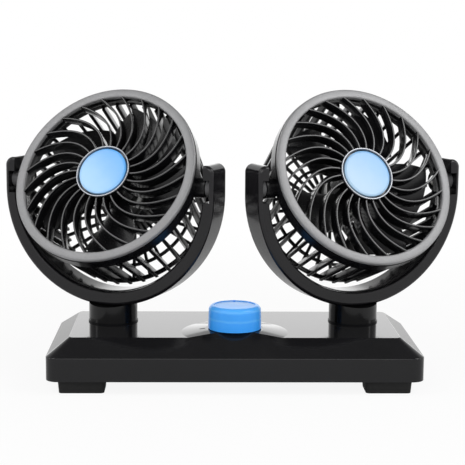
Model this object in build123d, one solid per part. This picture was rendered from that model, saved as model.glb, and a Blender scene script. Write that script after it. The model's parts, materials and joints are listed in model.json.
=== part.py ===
from build123d import *
import math
import os

# A twin-head fan: one low base with a speed knob, two turning posts, and on each post a yoke that
# carries a tilting fan head. Millimetres, +Z up, fronts of the heads towards -Y.

# Driving sizes of the base
post_set_back = 10.0
base_end_reach = 36.2
base_depth = 101.8
base_corner_radius = 7.5
base_top_corner_radius = 3.0
base_wall = 2.4
band_height = 14.0
shoulder_rise = 9.4
shoulder_inset_x = 12.9
shoulder_inset_y = 13.9
base_edge_round = 0.7
cover_clearance = 0.2

# Feet, in pockets of the bottom cover
foot_length = 28.0
foot_width = 20.0
foot_height = 7.7
foot_pocket_depth = 1.0
foot_corner_radius = 3.0
foot_draft = 0.7
foot_end_margin = 6.9
foot_side_margin = 3.2

# Screws of the bottom cover
cover_screw_x = 60.0
cover_screw_y = 32.5
cover_screw_radius = 1.4
cover_screw_head_radius = 2.7
cover_screw_head_height = 1.5
cover_screw_bite = 8.0
screw_post_radius = 3.6

# Dial mound, switch and knob
knob_forward = 21.0
mound_base_radius = 32.2
mound_top_radius = 17.5
mound_rise = 2.2
knob_gap = 0.5
knob_radius = 16.0
knob_top_radius = 15.6
knob_height = 14.0
knob_edge_round = 2.8
knob_recess_radius = 9.0
knob_recess_depth = 4.2
knob_dish_radius = 12.4
knob_dish_depth = 0.4
pointer_width = 1.3
pointer_length = 2.6
pointer_depth = 0.5
switch_body_side = 16.0
switch_body_height = 8.0
bushing_radius = 3.5
bushing_hole_clearance = 0.1
bushing_stand = 3.0
switch_shaft_radius = 2.6
switch_shaft_length = 20.5
switch_shaft_depth = 6.0
nut_across_flats = 10.0
nut_height = 2.0
running_clearance = 0.05

# Cord gland in the rear wall
gland_x = 0.0
gland_radius = 4.0
gland_flange_radius = 5.0
gland_flange_thickness = 1.6
gland_bore_radius = 2.1
gland_height_in_band = 7.6

# Swivel posts
post_radius = 15.0
post_height = 10.25
spigot_radius = 11.0
collar_wall = 3.4
collar_depth = 7.0
swivel_washer_radius = 15.4
swivel_washer_thickness = 0.8
swivel_end_play = 0.1
wire_bore_radius = 3.0
retaining_plate_radius = 13.8
retaining_plate_thickness = 1.6
retaining_screw_offset = 6.6
retaining_screw_radius = 1.3
retaining_screw_head_radius = 2.5
retaining_screw_head_height = 1.4
retaining_screw_bite = 7.0
tenon_radius = 4.1
tenon_bore_radius = 2.4

# Yokes
yoke_side_gap = 9.4
yoke_thickness = 6.8
yoke_outer_drop = 5.0
head_side_gap = 4.9
yoke_inner_drop = 3.4
yoke_arm_rise = 14.2
yoke_depth = 22.0
yoke_set_back = 1.5
yoke_front_thickness = 5.0
yoke_outer_round = 2.2
yoke_inner_round = 0.8
arm_outer_corner = 5.0
channel_width = 3.0
channel_depth = 9.0
channel_outer_wall = 2.0
pocket_depth = 4.3
pocket_rise = 5.5
pocket_drop = 8.0
pocket_behind_pivot = 5.5

# Pivots
bush_radius = 5.4
pin_radius = 3.0
pin_end_gap = 0.4
pivot_boss_radius = 6.2
pivot_gap = 0.3

# Bezel and housing band, with places along the head's axis measured from the pivot
bezel_outer_radius = 58.3
bezel_width = 5.5
bezel_front = 14.6
bezel_thickness = 3.2
bezel_chamfer = 0.6
band_overhang = 0.3
band_wall = 2.2
band_back = 2.5
band_chamfer_width = 1.4
band_chamfer_length = 2.1

# Front grille
rib_count = 24
rib_width = 1.3
rib_sweep = 30.0
rib_middle_share = 0.5
rib_middle_sweep_share = 0.4
rim_step = 0.1
rim_depth = 4.0
rim_gap = 0.2
rib_rim_front_recess = 0.4
rib_rim_depth = 3.6
rib_hub_front = 15.4
rib_hub_back = 7.4
rib_bulge = 0.6
hub_radius = 17.2
hub_front = 15.9
hub_back = 7.6
hub_recess_radius = 16.5
hub_recess_depth = 2.4
hub_ring_width = 1.3
hub_ring_thickness = 0.7
hub_disc_gap = 0.3
hub_disc_thickness = 3.0
hub_disc_crown = 0.5

# Rear cage
slat_count = 36
slat_thickness = 1.5
slat_radial_depth = 3.0
slat_tooth = 0.4
slat_root = 1.0
cage_taper = 6.2
cage_back = 39.8
cage_band_gap = 0.2
collar_wall_thickness = 2.2
ring_recess = 0.8
ring_wall = 2.2
rim_ring_depth = 2.6
rear_bar_count = 28
rear_bar_width = 1.5
rear_bar_depth = 1.8
rear_ring_step = 11.5
rear_ring_width = 1.3

# Motor, its cup and screws
motor_radius = 13.8
motor_front = 12.3
motor_length = 25.0
motor_boss_radius = 5.0
motor_boss_length = 1.5
motor_shaft_radius = 1.6
motor_shaft_front_reach = 5.8
motor_shaft_depth = 20.0
motor_cup_gap = 0.1
motor_cup_wall = 2.4
motor_cup_front = 20.0
motor_cup_end = 2.5
motor_screw_offset = 8.0
motor_screw_radius = 1.25
motor_screw_head_radius = 2.4
motor_screw_head_height = 1.4
motor_screw_bite = 3.0

# Impeller
blade_count = 5
blade_tip_gap = 2.6
blade_heel_step = 7.3
blade_thickness = 1.6
blade_front = 6.0
blade_back = 11.6
blade_root_front_reach = 10.0
blade_root_back_reach = 1.5
blade_tip_front_reach = 24.0
blade_tip_back_reach = 35.5
blade_camber = 3.0
blade_edge_margin = 0.4
blade_root_bite = 0.3
impeller_hub_radius = 14.6
impeller_hub_front = 6.5
impeller_hub_back = 5.5
impeller_hub_wall = 1.8
impeller_boss_radius = 3.4
impeller_boss_back = 5.0

# Plan of a blade, degrees from its middle line
blade_front_angles = (-38.0, -28.5, -17.0)
blade_tip_middle_angle = 5.0
blade_back_angles = (31.0, 22.0, 8.0)

# Pose in which the fan stands, degrees
left_swivel_angle = -22.5
right_swivel_angle = 22.5
left_tilt_angle = 32.5
right_tilt_angle = 30.0
left_impeller_turn = 4.0
right_impeller_turn = 10.0

# How far cutting tools run past what they cut
overrun = 1.0

# Sizes that follow from the head's
bezel_inner_radius = bezel_outer_radius - bezel_width
band_outer_radius = bezel_outer_radius + band_overhang
rim_inner_radius = bezel_inner_radius + rim_step
cage_front_radius = band_outer_radius - band_chamfer_width
cage_back_radius = cage_front_radius - cage_taper
rear_outer_ring_radius = cage_back_radius - rear_ring_step
rear_inner_ring_radius = rear_outer_ring_radius - rear_ring_step
blade_tip_radius = rim_inner_radius - blade_tip_gap
blade_heel_radius = blade_tip_radius - blade_heel_step
yoke_inner_radius = band_outer_radius + head_side_gap
yoke_outer_radius = yoke_inner_radius + yoke_thickness
post_pitch = 2 * yoke_outer_radius + yoke_side_gap
base_length = post_pitch + 2 * base_end_reach

# Heights and places that follow from the sizes above
band_bottom_z = foot_height
crease_z = band_bottom_z + band_height
base_top_z = crease_z + shoulder_rise
base_ceiling_z = base_top_z - base_wall
top_length = base_length - 2 * shoulder_inset_x
top_depth = base_depth - 2 * shoulder_inset_y
mound_top_z = base_top_z + mound_rise
collar_bottom_z = base_ceiling_z - collar_depth
spigot_bottom_z = collar_bottom_z - swivel_end_play
shoulder_z = base_top_z + swivel_washer_thickness
yoke_bottom_z = shoulder_z + post_height
yoke_arc_z = yoke_bottom_z + yoke_outer_radius
pivot_height = yoke_arc_z + yoke_outer_drop
channel_outer_radius = yoke_outer_radius - channel_outer_wall
channel_inner_radius = channel_outer_radius - channel_width
yoke_front_y = yoke_set_back - yoke_depth / 2
yoke_back_y = yoke_set_back + yoke_depth / 2
yoke_seam_y = yoke_front_y + yoke_front_thickness
pocket_bottom_x = yoke_inner_radius + pocket_depth
bezel_back = bezel_front - bezel_thickness
rim_back = bezel_back - rim_depth
rim_outer_radius = band_outer_radius - band_wall - rim_gap
motor_back = motor_front + motor_length
hub_floor = hub_front - hub_recess_depth
collar_radius = band_outer_radius - band_wall - cage_band_gap


standing = (Align.CENTER, Align.CENTER, Align.MIN)


def tube(outer_radius, inner_radius, low, high):
    """Round tube about Z between two heights."""
    return rod(outer_radius, low, high) - rod(inner_radius, low - overrun, high + overrun)


def rod(radius, low, high):
    """Round rod about Z between two heights."""
    return Pos(0, 0, low) * Cylinder(radius, high - low, align=standing)


def slab(length, depth, corner, low, high):
    """Rounded rectangular slab between two heights."""
    return Pos(0, 0, low) * extrude(RectangleRounded(length, depth, corner), high - low)


def turned(points):
    """Solid of revolution about Z from radius and height points joined by straight lines."""
    outline = make_face(Polyline(*[(radius, 0, height) for radius, height in points], close=True))
    return revolve(outline, Axis.Z)


def upright(sketch, front, back):
    """Extrude a sketch of X and Z shapes from y = front to y = back."""
    return Pos(0, back, 0) * Rot(90, 0, 0) * extrude(sketch, back - front)


def pan_screw(shank_radius, head_radius, head_height, bite):
    """Screw along +Z with its head below zero and its shank above."""
    return rod(head_radius, -head_height, 0) + rod(shank_radius, 0, bite)


def at_four(x, y):
    """The four places at plus and minus x and y."""
    return [(side * x, end * y) for side in (-1, 1) for end in (-1, 1)]


# Base

foot_x = base_length / 2 - foot_end_margin - foot_length / 2
foot_y = base_depth / 2 - foot_side_margin - foot_width / 2
cover_top_z = band_bottom_z + base_wall


def shoulder_body(grow_down, length, depth, corner, top_l, top_d, top_corner, low, crease, high):
    """Vertical band with sloped shoulders up to a smaller flat top."""
    band = slab(length, depth, corner, low - grow_down, crease)
    lower = Pos(0, 0, crease) * RectangleRounded(length, depth, corner)
    upper = Pos(0, 0, high) * RectangleRounded(top_l, top_d, top_corner)
    return band + loft([lower, upper], ruled=True)


def cavity_crease_drop(inset):
    """How far the cavity's crease lies under the outside one for an even wall."""
    slope = math.atan2(shoulder_rise, inset)
    return base_wall * math.tan((math.pi / 2 - slope) / 2)


def cavity_top_inset(inset):
    """How far the cavity's flat top is narrower than the outside one, on each side."""
    slope = math.atan2(shoulder_rise, inset)
    return base_wall * math.tan(slope / 2)


def dial_mound():
    """Low cone under the knob, cut in front by the plane of the front shoulder."""
    mound = Cone(mound_base_radius, mound_top_radius, mound_rise, align=standing)
    mound = Pos(0, -knob_forward, base_top_z) * mound
    front_y = -base_depth / 2
    high_z = crease_z + 2 * shoulder_rise
    keep = make_face(Polyline(
        (front_y, crease_z),
        (front_y + 2 * shoulder_inset_y, high_z),
        (-front_y, high_z),
        (-front_y, crease_z),
        close=True,
    ))
    keep = extrude(Plane.YZ.offset(-base_length / 2) * keep, base_length)
    return mound & keep


def base_housing():
    """Moulded top shell of the base."""
    outer = shoulder_body(0, base_length, base_depth, base_corner_radius,
                          top_length, top_depth, base_top_corner_radius,
                          band_bottom_z, crease_z, base_top_z)
    heights = (crease_z, base_top_z)
    sharp = [edge for edge in outer.edges()
             if any(abs(edge.center().Z - height) < base_edge_round for height in heights)]
    outer = fillet(sharp, base_edge_round)
    drop = max(cavity_crease_drop(shoulder_inset_x), cavity_crease_drop(shoulder_inset_y))
    cavity = shoulder_body(overrun, base_length - 2 * base_wall, base_depth - 2 * base_wall,
                           base_corner_radius - base_wall,
                           top_length - 2 * cavity_top_inset(shoulder_inset_x),
                           top_depth - 2 * cavity_top_inset(shoulder_inset_y),
                           base_top_corner_radius, band_bottom_z, crease_z - drop, base_ceiling_z)
    shell = outer + dial_mound() - cavity
    sleeve_radius = spigot_radius + collar_wall
    spigot_hole = spigot_radius + running_clearance
    for side in (-1, 1):
        place = Pos(side * post_pitch / 2, post_set_back, 0)
        shell += place * rod(sleeve_radius, collar_bottom_z, base_ceiling_z)
        shell -= place * rod(spigot_hole, collar_bottom_z - overrun, base_top_z + overrun)
    hole = bushing_radius + bushing_hole_clearance
    shell -= Pos(0, -knob_forward, 0) * rod(hole, base_ceiling_z - overrun, mound_top_z + overrun)
    for x, y in at_four(cover_screw_x, cover_screw_y):
        shell += Pos(x, y, 0) * rod(screw_post_radius, cover_top_z, base_ceiling_z)
        pilot = rod(cover_screw_radius, cover_top_z - overrun, cover_top_z + cover_screw_bite)
        shell -= Pos(x, y, 0) * pilot
    gland_z = band_bottom_z + gland_height_in_band
    hole = Rot(90, 0, 0) * rod(gland_radius, -overrun, base_wall + overrun)
    return shell - Pos(gland_x, base_depth / 2, gland_z) * hole


def bottom_cover():
    """Plate inside the band that closes the shell."""
    inset = 2 * (base_wall + cover_clearance)
    corner = base_corner_radius - base_wall - cover_clearance
    plate = slab(base_length - inset, base_depth - inset, corner, band_bottom_z, cover_top_z)
    pocket_length = foot_length + 2 * cover_clearance
    pocket_width = foot_width + 2 * cover_clearance
    for x, y in at_four(foot_x, foot_y):
        pocket = slab(pocket_length, pocket_width, foot_corner_radius, band_bottom_z - overrun,
                      band_bottom_z + foot_pocket_depth)
        plate -= Pos(x, y, 0) * pocket
    for x, y in at_four(cover_screw_x, cover_screw_y):
        plate -= Pos(x, y, 0) * rod(cover_screw_radius, band_bottom_z - overrun, cover_top_z + overrun)
        plate -= Pos(x, y, 0) * rod(cover_screw_head_radius, band_bottom_z - overrun,
                                    band_bottom_z + cover_screw_head_height)
    return plate


def cover_screws():
    """Screws of the bottom cover, heads sunk in the plate."""
    screw = pan_screw(cover_screw_radius, cover_screw_head_radius, cover_screw_head_height,
                      base_wall - cover_screw_head_height + cover_screw_bite)
    low = band_bottom_z + cover_screw_head_height
    return [Pos(x, y, low) * screw for x, y in at_four(cover_screw_x, cover_screw_y)]


def foot():
    """Rubber foot with a slight taper, from the floor up into its pocket."""
    lower = RectangleRounded(foot_length - 2 * foot_draft, foot_width - 2 * foot_draft,
                             foot_corner_radius - foot_draft)
    upper = Pos(0, 0, foot_height) * RectangleRounded(foot_length, foot_width, foot_corner_radius)
    plug_top_z = foot_height + foot_pocket_depth
    plug = slab(foot_length, foot_width, foot_corner_radius, foot_height, plug_top_z)
    return loft([lower, upper], ruled=True) + plug


def rotary_switch():
    """Switch body under the ceiling of the base, with the bushing through the mound."""
    low = base_ceiling_z - switch_body_height
    body = slab(switch_body_side, switch_body_side, bushing_hole_clearance, low, base_ceiling_z)
    body += rod(bushing_radius, base_ceiling_z, mound_top_z + bushing_stand)
    bore = switch_shaft_radius + running_clearance
    body -= rod(bore, base_ceiling_z - switch_shaft_depth, mound_top_z + bushing_stand + overrun)
    return Pos(0, -knob_forward, 0) * body


def switch_nut():
    """Hexagon nut on the bushing."""
    nut = extrude(RegularPolygon(nut_across_flats / 2, 6, major_radius=False), nut_height)
    nut -= rod(bushing_radius, -overrun, nut_height + overrun)
    return Pos(0, -knob_forward, mound_top_z) * nut


knob_bottom_z = mound_top_z + knob_gap
knob_top_z = knob_bottom_z + knob_height
shaft_top_z = base_ceiling_z - switch_shaft_depth + running_clearance + switch_shaft_length


def switch_shaft():
    """Round shaft between the switch and the knob."""
    low = base_ceiling_z - switch_shaft_depth + running_clearance
    return Pos(0, -knob_forward, 0) * rod(switch_shaft_radius, low, shaft_top_z)


def speed_knob():
    """Knob with a rounded shoulder, a dished top and a pointer notch at the back."""
    body = Cone(knob_radius, knob_top_radius, knob_height, align=standing)
    body = fillet(body.edges().group_by(Axis.Z)[-1], knob_edge_round)
    body -= rod(knob_dish_radius, knob_height - knob_dish_depth, knob_height + overrun)
    body -= rod(knob_recess_radius, -overrun, knob_recess_depth)
    body -= rod(switch_shaft_radius, 0, shaft_top_z - knob_bottom_z)
    notch = Box(pointer_width, pointer_length + overrun, pointer_depth + overrun,
                align=(Align.CENTER, Align.MIN, Align.MIN))
    notch_floor = knob_height - knob_dish_depth - pointer_depth
    body -= Pos(0, knob_dish_radius - pointer_length, notch_floor) * notch
    return Pos(0, -knob_forward, knob_bottom_z) * body


def cord_gland():
    """Flanged gland in the rear wall, with the bore for the supply cord."""
    flange_in = base_wall + gland_flange_thickness
    body = rod(gland_flange_radius, -gland_flange_thickness, 0) + rod(gland_radius, 0, flange_in)
    body += rod(gland_flange_radius, base_wall, flange_in)
    body -= rod(gland_bore_radius, -gland_flange_thickness - overrun, flange_in + overrun)
    return Pos(gland_x, base_depth / 2, band_bottom_z + gland_height_in_band) * Rot(90, 0, 0) * body


# Swivel posts, built about the post axis

def swivel_washer():
    """Thin sliding ring between the base and the post."""
    return tube(swivel_washer_radius, spigot_radius + running_clearance, base_top_z, shoulder_z)


def swivel_post():
    """Hollow post whose top follows the underside of the yoke, with a tenon that goes into it."""
    top = yoke_bottom_z + pocket_drop
    body = rod(post_radius, shoulder_z, top) + rod(spigot_radius, spigot_bottom_z, shoulder_z)
    saddle = Cylinder(yoke_outer_radius, 2 * (post_radius + overrun))
    body -= Pos(0, 0, yoke_arc_z) * Rot(90, 0, 0) * saddle
    tenon_top = yoke_arc_z - channel_outer_radius
    body += rod(tenon_radius, shoulder_z, tenon_top)
    body -= rod(wire_bore_radius, spigot_bottom_z - overrun, shoulder_z)
    body -= rod(tenon_bore_radius, spigot_bottom_z, tenon_top + overrun)
    hole = rod(retaining_screw_radius, -overrun, retaining_screw_bite)
    for side in (-1, 1):
        body -= Pos(side * retaining_screw_offset, 0, spigot_bottom_z) * hole
    return body


def retaining_plate():
    """Plate under the collar that keeps the post in the base."""
    low = spigot_bottom_z - retaining_plate_thickness
    plate = tube(retaining_plate_radius, wire_bore_radius, low, spigot_bottom_z)
    for side in (-1, 1):
        hole = rod(retaining_screw_radius, low - overrun, spigot_bottom_z + overrun)
        plate -= Pos(side * retaining_screw_offset, 0, 0) * hole
    return plate


def retaining_screws():
    """Two screws up into the post."""
    low = spigot_bottom_z - retaining_plate_thickness
    screw = pan_screw(retaining_screw_radius, retaining_screw_head_radius, retaining_screw_head_height,
                      retaining_plate_thickness + retaining_screw_bite)
    return [Pos(side * retaining_screw_offset, 0, low) * screw for side in (-1, 1)]


# Yokes, built about the post axis with heights from the floor

def u_shape(outer_radius, outer_z, inner_radius, inner_z, top_z):
    """U outline in X and Z: half rings with straight arms up to a height."""
    wide = Pos(0, outer_z) * Circle(outer_radius)
    wide += Pos(0, (outer_z + top_z) / 2) * Rectangle(2 * outer_radius, top_z - outer_z)
    narrow = Pos(0, inner_z) * Circle(inner_radius)
    narrow += Pos(0, (inner_z + top_z) / 2) * Rectangle(2 * inner_radius, top_z - inner_z)
    above = 2 * outer_radius
    narrow += Pos(0, top_z + above / 2) * Rectangle(2 * above, above)
    return wide - narrow


def yoke_outline():
    """Outline of a yoke with rounded arm tops."""
    inner_z = pivot_height - yoke_inner_drop
    top_z = pivot_height + yoke_arm_rise
    shape = u_shape(yoke_outer_radius, yoke_arc_z, yoke_inner_radius, inner_z, top_z)
    middle = (yoke_outer_radius + yoke_inner_radius) / 2
    corners = [v for v in shape.vertices() if abs(v.Y - top_z) < overrun and abs(v.X) > middle]
    return fillet(corners, arm_outer_corner)


def edges_at_y(solid, y, inside):
    """Long edges of a yoke shell on the face at y, those inside the U or those outside it."""
    middle = (yoke_outer_radius + yoke_inner_radius) / 2
    arc_z = pivot_height - (yoke_outer_drop + yoke_inner_drop) / 2
    found = []
    for edge in solid.edges():
        spots = [edge.position_at(share) for share in (0, 1 / 2, 1)]
        off_face = any(abs(spot.Y - y) > yoke_inner_round / 2 for spot in spots)
        if off_face or edge.length < 2 * yoke_arm_rise:
            continue
        reach = math.hypot(spots[1].X, min(spots[1].Z - arc_z, 0))
        if (reach < middle) == inside:
            found.append(edge)
    return found


def wire_channel():
    """Outline of the channel for the wires, from pocket to pocket round the U."""
    ring = Pos(0, yoke_arc_z) * (Circle(channel_outer_radius) - Circle(channel_inner_radius))
    pocket_floor_z = pivot_height - pocket_drop + overrun
    above = 2 * yoke_outer_radius
    return ring - Pos(0, pocket_floor_z + above / 2) * Rectangle(above, above)


def pocket_cut(front, back):
    """Two cuts, one into each arm's inner side, for the pivots."""
    height = pocket_rise + pocket_drop
    cut = Box(pocket_depth + overrun, back - front, height, align=(Align.MAX, Align.MIN, Align.MIN))
    cut = Pos(pocket_bottom_x, front, pivot_height - pocket_drop) * cut
    return cut + mirror(cut, about=Plane.YZ)


def yoke_front_cover():
    """Front shell of the yoke."""
    body = upright(yoke_outline(), yoke_front_y, yoke_seam_y)
    body = fillet(edges_at_y(body, yoke_front_y, False), yoke_outer_round)
    body = fillet(edges_at_y(body, yoke_front_y, True), yoke_inner_round)
    return body - pocket_cut(yoke_front_y - overrun, yoke_seam_y + overrun)


def yoke_rear_shell():
    """Rear shell of the yoke with the wire channel and the socket for the post."""
    body = upright(yoke_outline(), yoke_seam_y, yoke_back_y)
    body = fillet(edges_at_y(body, yoke_back_y, False), yoke_outer_round)
    body = fillet(edges_at_y(body, yoke_back_y, True), yoke_inner_round)
    body -= upright(wire_channel(), yoke_seam_y - overrun, yoke_seam_y + channel_depth)
    body -= rod(tenon_radius, yoke_bottom_z - overrun, yoke_arc_z - channel_outer_radius)
    return body - pocket_cut(yoke_seam_y - overrun, pocket_behind_pivot)


def pivot_bushes():
    """Bush in each arm's pocket, its outer end on the pocket's floor."""
    bush = tube(bush_radius, pin_radius + running_clearance, yoke_inner_radius, pocket_bottom_x)
    right = Pos(0, 0, pivot_height) * Rot(0, 90, 0) * bush
    return [right, mirror(right, about=Plane.YZ)]


# Head, built with +Z as the axis pointing to the rear and zero at the pivot

def bezel_ring():
    """Flat silver ring in front of the housing."""
    return turned([
        (bezel_inner_radius, -bezel_back),
        (bezel_inner_radius, -bezel_front + bezel_chamfer),
        (bezel_inner_radius + bezel_chamfer, -bezel_front),
        (bezel_outer_radius - bezel_chamfer, -bezel_front),
        (bezel_outer_radius, -bezel_front + bezel_chamfer),
        (bezel_outer_radius, -bezel_back),
    ])


def pivot_boss_blank(radius, low, high):
    """Two short rods along X on the pivot axis."""
    right = Rot(0, 90, 0) * rod(radius, low, high)
    return right + mirror(right, about=Plane.YZ)


def housing_band():
    """Glossy band behind the bezel with a pivot boss on each side."""
    inner = band_outer_radius - band_wall
    body = turned([
        (inner, -bezel_back),
        (band_outer_radius, -bezel_back),
        (band_outer_radius, -band_back - band_chamfer_length),
        (band_outer_radius - band_chamfer_width, -band_back),
        (inner, -band_back),
    ])
    body += pivot_boss_blank(pivot_boss_radius, inner, yoke_inner_radius - pivot_gap)
    return body - pivot_boss_blank(pin_radius, inner - overrun, yoke_inner_radius)


def pivot_pins():
    """Pin in each boss, running in the bush."""
    right = Rot(0, 90, 0) * rod(pin_radius, band_outer_radius - band_wall, pocket_bottom_x - pin_end_gap)
    return [right, mirror(right, about=Plane.YZ)]


def rib_strip():
    """Flat outline of one spiral rib from hub to rim."""
    start_radius = (hub_radius + hub_recess_radius) / 2
    end_radius = rim_inner_radius + rib_width / 2
    middle_radius = start_radius + rib_middle_share * (end_radius - start_radius)
    spots = []
    for radius, share in ((start_radius, 0), (middle_radius, rib_middle_sweep_share), (end_radius, 1)):
        angle = math.radians(-rib_sweep * share)
        spots.append(Vector(radius * math.cos(angle), radius * math.sin(angle)))
    line = ThreePointArc(*spots)
    centre = line.arc_center
    sides = []
    for shift in (-rib_width / 2, rib_width / 2):
        radius = line.radius + shift
        sides.append(ThreePointArc(*[centre + (spot - centre).normalized() * radius for spot in spots]))
    ends = [Line(sides[0] @ end, sides[1] @ end) for end in (0, 1)]
    return make_face([*sides, *ends])


def front_grille():
    """Dish of spiral ribs between the hub cup and the rim."""
    rim_front_edge = bezel_back - rib_rim_front_recess
    blank = Pos(0, 0, -hub_front) * extrude(rib_strip(), hub_front)
    inner = hub_radius - rib_width
    outer = rim_inner_radius + rib_width
    middle = (inner + outer) / 2
    front_middle = (rib_hub_front + rim_front_edge) / 2 + rib_bulge
    hub_end = (inner, 0, -rib_hub_front)
    rim_end = (outer, 0, -rim_front_edge)
    front = ThreePointArc(hub_end, (middle, 0, -front_middle), rim_end)
    back = Polyline(rim_end, (outer, 0, -rim_front_edge + rib_rim_depth), (inner, 0, -rib_hub_back), hub_end)
    envelope = revolve(make_face([*front.edges(), *back.edges()]), Axis.Z)
    rib = blank & envelope
    ribs = [Rot(0, 0, index * 360 / rib_count) * rib for index in range(rib_count)]
    rim = tube(rim_outer_radius, rim_inner_radius, -bezel_back, -rim_back)
    hub = rod(hub_radius, -hub_front, -hub_back)
    hub -= rod(hub_recess_radius, -hub_front - overrun, -hub_floor)
    return hub + [rim, *ribs]


def hub_ring():
    """Thin silver ring on the hub cup, with a skirt into its recess."""
    inner = hub_radius - hub_ring_width
    flange = tube(hub_radius, inner, -hub_front - hub_ring_thickness, -hub_front)
    return flange + tube(hub_recess_radius, inner, -hub_front, -hub_floor)


def hub_disc():
    """Slightly crowned disc inside the hub ring."""
    radius = hub_radius - hub_ring_width - hub_disc_gap
    edge = hub_floor + hub_disc_thickness
    crown = ThreePointArc((-radius, 0, -edge), (0, 0, -edge - hub_disc_crown), (radius, 0, -edge))
    half = ThreePointArc(crown @ (1 / 2), crown @ (3 / 4), crown @ 1)
    sides = Polyline((radius, 0, -edge), (radius, 0, -hub_floor), (0, 0, -hub_floor), half @ 0)
    return revolve(make_face([*half.edges(), *sides.edges()]), Axis.Z)


def cage_radius(place):
    """Outer radius of the cage at a place along the axis."""
    share = (place + band_back) / (cage_back + band_back)
    return cage_front_radius + share * (cage_back_radius - cage_front_radius)


def frustum(front_radius, back_radius, front, back, sides):
    """Many-sided frustum about Z whose corners lie at the given radii."""
    lower = Pos(0, 0, front) * RegularPolygon(front_radius, sides)
    upper = Pos(0, 0, back) * RegularPolygon(back_radius, sides)
    return loft([lower, upper], ruled=True)


def cage_ring(front, back):
    """Ring of the cage with a flat between slats, a little inside their outer edges."""
    outer_front = cage_radius(front) - ring_recess
    outer_back = cage_radius(back) - ring_recess
    ring = frustum(outer_front, outer_back, front, back, slat_count)
    inner = outer_back - ring_wall
    return ring - frustum(inner, inner, front - overrun, back + overrun, slat_count)


def straight_ring(outer_radius, width, front, back, sides):
    """Ring of straight pieces with parallel faces."""
    ring = frustum(outer_radius, outer_radius, front, back, sides)
    inner = outer_radius - width
    return ring - frustum(inner, inner, front - overrun, back + overrun, sides)


def slat():
    """One slat along the cage, rooted in the collar, with the tooth past the rear rim."""
    free_front = -band_back + cage_band_gap
    tooth_end = cage_back + slat_tooth
    inside_front = cage_radius(free_front) - slat_radial_depth
    root_outer = collar_radius - cage_band_gap
    outline = make_face(Polyline(
        (inside_front, 0, -band_back - slat_root),
        (root_outer, 0, -band_back - slat_root),
        (root_outer, 0, free_front),
        (cage_radius(free_front), 0, free_front),
        (cage_radius(tooth_end), 0, tooth_end),
        (cage_radius(tooth_end) - slat_radial_depth, 0, tooth_end),
        (inside_front, 0, free_front),
        close=True,
    ))
    return extrude(outline, slat_thickness / 2, both=True)


def rear_cage():
    """Slatted cage with rear bars, rings and the motor cup."""
    body = straight_ring(collar_radius, collar_wall_thickness, -rim_back, -band_back, slat_count)
    one = slat()
    slats = [Rot(0, 0, index * 360 / slat_count) * one for index in range(slat_count)]
    rings = [cage_ring(cage_back - rim_ring_depth, cage_back)]
    bar_front = cage_back - rear_bar_depth
    for radius in (rear_outer_ring_radius, rear_inner_ring_radius):
        rings.append(straight_ring(radius, rear_ring_width, bar_front, cage_back, rear_bar_count))
    cup_outer = motor_radius + motor_cup_gap + motor_cup_wall
    start = cup_outer - rear_bar_width
    end = cage_back_radius - ring_recess - ring_wall / 2
    bar = Box(end - start, rear_bar_width, rear_bar_depth, align=(Align.MIN, Align.CENTER, Align.MIN))
    bar = Pos(start, 0, bar_front) * bar
    bars = [Rot(0, 0, index * 360 / rear_bar_count) * bar for index in range(rear_bar_count)]
    cup_back = motor_back + motor_cup_end
    cup = rod(cup_outer, motor_cup_front, cup_back)
    body = body + [*slats, *rings, *bars, cup]
    body -= rod(motor_radius + motor_cup_gap, motor_cup_front - overrun, motor_back)
    for side in (-1, 1):
        hole = rod(motor_screw_radius, motor_back - overrun, cup_back + overrun)
        body -= Pos(side * motor_screw_offset, 0, 0) * hole
    relief = pivot_boss_radius + pivot_gap
    deep_inside = cage_back_radius - ring_wall - slat_radial_depth
    return body - pivot_boss_blank(relief, deep_inside, band_outer_radius)


def motor():
    """Motor can with its front boss and a bore for the shaft."""
    boss_front = motor_front - motor_boss_length
    body = rod(motor_radius, motor_front, motor_back) + rod(motor_boss_radius, boss_front, motor_front)
    bore = motor_shaft_radius + running_clearance
    body -= rod(bore, boss_front - overrun, motor_front + motor_shaft_depth)
    for side in (-1, 1):
        hole = rod(motor_screw_radius, motor_back - motor_screw_bite, motor_back + overrun)
        body -= Pos(side * motor_screw_offset, 0, 0) * hole
    return body


def motor_screws():
    """Two screws through the cup into the motor."""
    screw = pan_screw(motor_screw_radius, motor_screw_head_radius, motor_screw_head_height,
                      motor_cup_end + motor_screw_bite)
    screw = Rot(180, 0, 0) * screw
    return [Pos(side * motor_screw_offset, 0, motor_back + motor_cup_end) * screw for side in (-1, 1)]


def motor_shaft():
    """Shaft of the motor with the impeller on its front end."""
    back = motor_front + motor_shaft_depth - running_clearance
    return rod(motor_shaft_radius, -motor_shaft_front_reach, back)


def around(radius, angle):
    """Point at a radius and an angle in degrees."""
    return Vector(radius * math.cos(math.radians(angle)), radius * math.sin(math.radians(angle)))


def blade_plan():
    """Plan of one blade: swept front edge, tip that draws in towards the heel, curved back edge."""
    root = impeller_hub_radius - blade_root_bite
    start, bend, corner = blade_front_angles
    heel, waist, end = blade_back_angles
    front = ThreePointArc(around(root, start), around((root + blade_tip_radius) / 2, bend),
                          around(blade_tip_radius, corner))
    tip = ThreePointArc(front @ 1, around((blade_tip_radius + blade_heel_radius) / 2,
                                          blade_tip_middle_angle), around(blade_heel_radius, heel))
    back = ThreePointArc(tip @ 1, around((root + blade_heel_radius) / 2, waist), around(root, end))
    return make_face([front, tip, back, Line(back @ 1, front @ 0)])


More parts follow.
